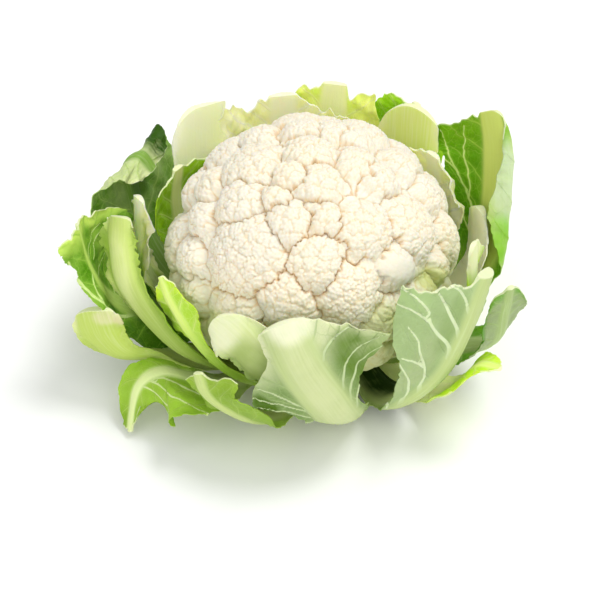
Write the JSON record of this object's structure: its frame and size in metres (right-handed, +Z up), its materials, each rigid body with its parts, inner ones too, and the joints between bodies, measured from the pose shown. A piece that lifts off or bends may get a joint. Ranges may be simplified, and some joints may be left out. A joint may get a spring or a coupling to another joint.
{
  "type": "cauliflower",
  "caption": "Trimmed head of cauliflower with a domed floret curd, a cut stalk to stand on, and cropped ribbed leaves standing loosely round it.",
  "frame": {"origin": "centre of the stalk's flat cut face, which the head stands on", "axes": "+Z up out of the cut face through the top of the curd, -Y the front that the picture shows, +X to the right of that view"},
  "size_m": [0.2386, 0.211, 0.1438],
  "materials": {
    "curd": "matt, granular, cream",
    "stalk": "smooth, moist cut face",
    "leaf": "satin leaf with a waxy underside and pale ribs"
  },
  "bodies": {
    "root": {"curd": "curd", "stalk": "stalk", "leaf_front_rib": "leaf", "leaf_front_inner": "leaf", "leaf_front_low": "leaf", "leaf_front_left_hanging": "leaf", "leaf_left_broad": "leaf", "leaf_left_rib": "leaf", "leaf_left_inner": "leaf", "leaf_left_tongue": "leaf", "leaf_back_left_strip": "leaf", "leaf_back_left_dark": "leaf", "leaf_back_left_pale": "leaf", "leaf_back_inner": "leaf", "leaf_back_outer": "leaf", "leaf_back_right_pale": "leaf", "leaf_back_right_outer": "leaf", "leaf_right_inner": "leaf", "leaf_right_broad": "leaf", "leaf_right_stub": "leaf", "leaf_right_small": "leaf", "leaf_front_right": "leaf", "leaf_right_outer": "leaf", "leaf_front_right_low": "leaf", "leaf_left_band": "leaf"}
  },
  "joints": []
}
